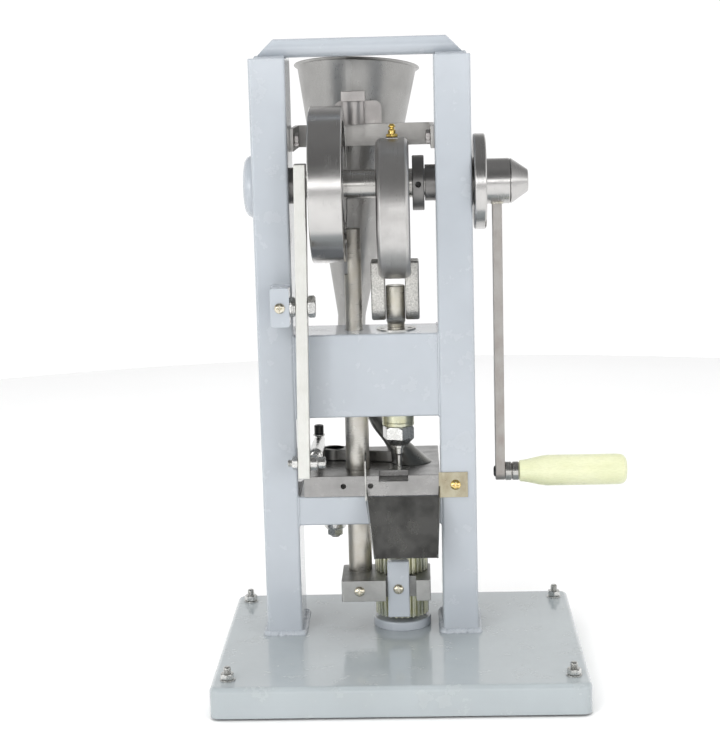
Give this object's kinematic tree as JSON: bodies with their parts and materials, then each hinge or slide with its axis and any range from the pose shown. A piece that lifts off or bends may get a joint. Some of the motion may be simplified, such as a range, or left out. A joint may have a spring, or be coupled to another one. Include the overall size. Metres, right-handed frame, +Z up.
{
  "type": "tablet press",
  "caption": "Hand-cranked single-punch tablet press: welded twin-column frame on a flat base, cam wheel and eccentric on an upper shaft, hopper, swinging feed shoe and die table",
  "frame": {"origin": "Centre of the base's outline in plan, on the plane the feet's undersides stand on", "axes": "+Z up; +X to the crank side; +Y to the rear, where the hopper is; the operator stands at -Y"},
  "size_m": [0.3445, 0.3495, 0.5268],
  "materials": {
    "enamel": "light blue-grey gloss enamel over welded steel",
    "rubber": "matt black",
    "zinc_hardware": "bright zinc plate",
    "turned_steel": "bright turned, fine circular tool marks",
    "ground_steel": "ground, satin",
    "hard_chrome": "hard chrome with a faint yellow cast",
    "dark_steel": "blued, lightly worn",
    "cast_steel": "bright cast with machined rim",
    "brass": "bright",
    "stainless_sheet": "brushed stainless sheet",
    "chute_sheet": "dark polished sheet",
    "yellow_zinc": "yellow passivated zinc",
    "ivory_plastic": "semi-gloss moulded ivory"
  },
  "bodies": {
    "frame": {"base_pan": "enamel", "rubber_feet": "rubber", "foot_hardware": "zinc_hardware", "base_boss": "enamel", "left_column": "enamel", "right_column": "enamel", "top_handle": "enamel", "middle_crossmember": "enamel", "lower_crossmember": "enamel", "guide_bush": "turned_steel", "lift_rod_bush": "turned_steel", "frame_bolts": "zinc_hardware", "shaft_bushes": "turned_steel", "left_bearing_cap": "enamel", "lever_bracket": "enamel", "lever_pivot_bolt": "zinc_hardware", "die_table": "ground_steel", "die": "ground_steel", "chute": "chute_sheet", "phillips_screws": "zinc_hardware", "hopper": "stainless_sheet", "hopper_bracket": "ground_steel", "hopper_clamp": "stainless_sheet"},
    "crank": {"main_shaft": "turned_steel", "cam_wheel": "turned_steel", "eccentric_sheave": "turned_steel", "shaft_collar": "dark_steel", "flange_disc": "turned_steel", "crank_hub": "turned_steel", "hub_nose": "turned_steel", "crank_arm": "ground_steel", "crank_pin": "turned_steel"},
    "grip": {"crank_grip": "ivory_plastic"},
    "strap": {"eccentric_strap": "cast_steel", "grease_nipple": "brass", "wrist_pin_ends": "turned_steel"},
    "plunger": {"plunger_rod": "hard_chrome", "wrist_pin": "turned_steel", "plunger_sleeve": "ground_steel", "punch_nut": "ground_steel", "upper_punch": "ground_steel"},
    "lift": {"lift_rod": "hard_chrome", "lift_roller": "turned_steel", "lift_fork": "ground_steel", "fork_screws": "zinc_hardware", "locking_plate": "enamel", "lower_punch": "ground_steel"},
    "ejection_wheel": {"ejection_gear": "yellow_zinc"},
    "fill_wheel": {"fill_gear": "yellow_zinc"},
    "lever": {"feeder_lever": "ground_steel", "lever_roller": "turned_steel", "link_bolt": "zinc_hardware"},
    "link": {"link_rod": "turned_steel"},
    "shoe": {"feed_shoe": "stainless_sheet", "link_post": "dark_steel", "shoe_pivot_bolt": "dark_steel", "pivot_spring": "dark_steel", "spring_cup": "zinc_hardware"}
  },
  "joints": [
    {"name": "crank_turn", "type": "hinge", "parent": "frame", "child": "crank", "pos_m": [0.001, 0.037, 0.4065], "axis": [-1, 0, 0], "range_deg": [0, 180]},
    {"name": "grip_spin", "type": "hinge", "parent": "crank", "child": "grip", "pos_m": [0.149, 0.037, 0.1595], "axis": [1, 0, 0], "continuous": true},
    {"name": "strap_turn", "type": "hinge", "parent": "crank", "child": "strap", "pos_m": [0.001, 0.037, 0.3855], "axis": [-1, 0, 0], "range_deg": [-180, 0]},
    {"name": "plunger_slide", "type": "slide", "parent": "frame", "child": "plunger", "axis": [0, 0, 1], "range_m": [0, 0.042]},
    {"name": "lift_slide", "type": "slide", "parent": "frame", "child": "lift", "axis": [0, 0, 1], "range_m": [0, 0.0084]},
    {"name": "ejection_wheel_turn", "type": "hinge", "parent": "lift", "child": "ejection_wheel", "pos_m": [0.001, 0.037, 0.0833], "axis": [0, 0, 1], "continuous": true},
    {"name": "fill_wheel_turn", "type": "hinge", "parent": "lift", "child": "fill_wheel", "pos_m": [0.001, 0.037, 0.0469], "axis": [0, 0, 1], "continuous": true},
    {"name": "lever_swing", "type": "hinge", "parent": "frame", "child": "lever", "pos_m": [-0.075, -0.01, 0.311], "axis": [1, 0, 0], "range_deg": [0, 1.92]},
    {"name": "link_level", "type": "hinge", "parent": "lever", "child": "link", "pos_m": [-0.0689, -0.01, 0.1805], "axis": [1, 0, 0], "range_deg": [-1.92, 0]},
    {"name": "shoe_swing", "type": "hinge", "parent": "frame", "child": "shoe", "pos_m": [-0.0571, 0.076, 0.17], "axis": [0, 0, 1], "range_deg": [-21, 0]}
  ],
  "couplings": [
    {"joint": "strap_turn", "follows": "crank_turn", "ratio": -1},
    {"joint": "plunger_slide", "follows": "crank_turn", "m_per_rad": 0.013369},
    {"joint": "lift_slide", "follows": "crank_turn", "m_per_rad": 0.0026738},
    {"joint": "lever_swing", "follows": "crank_turn", "ratio": 0.010667},
    {"joint": "link_level", "follows": "crank_turn", "ratio": -0.010667},
    {"joint": "shoe_swing", "follows": "crank_turn", "ratio": -0.11667}
  ]
}
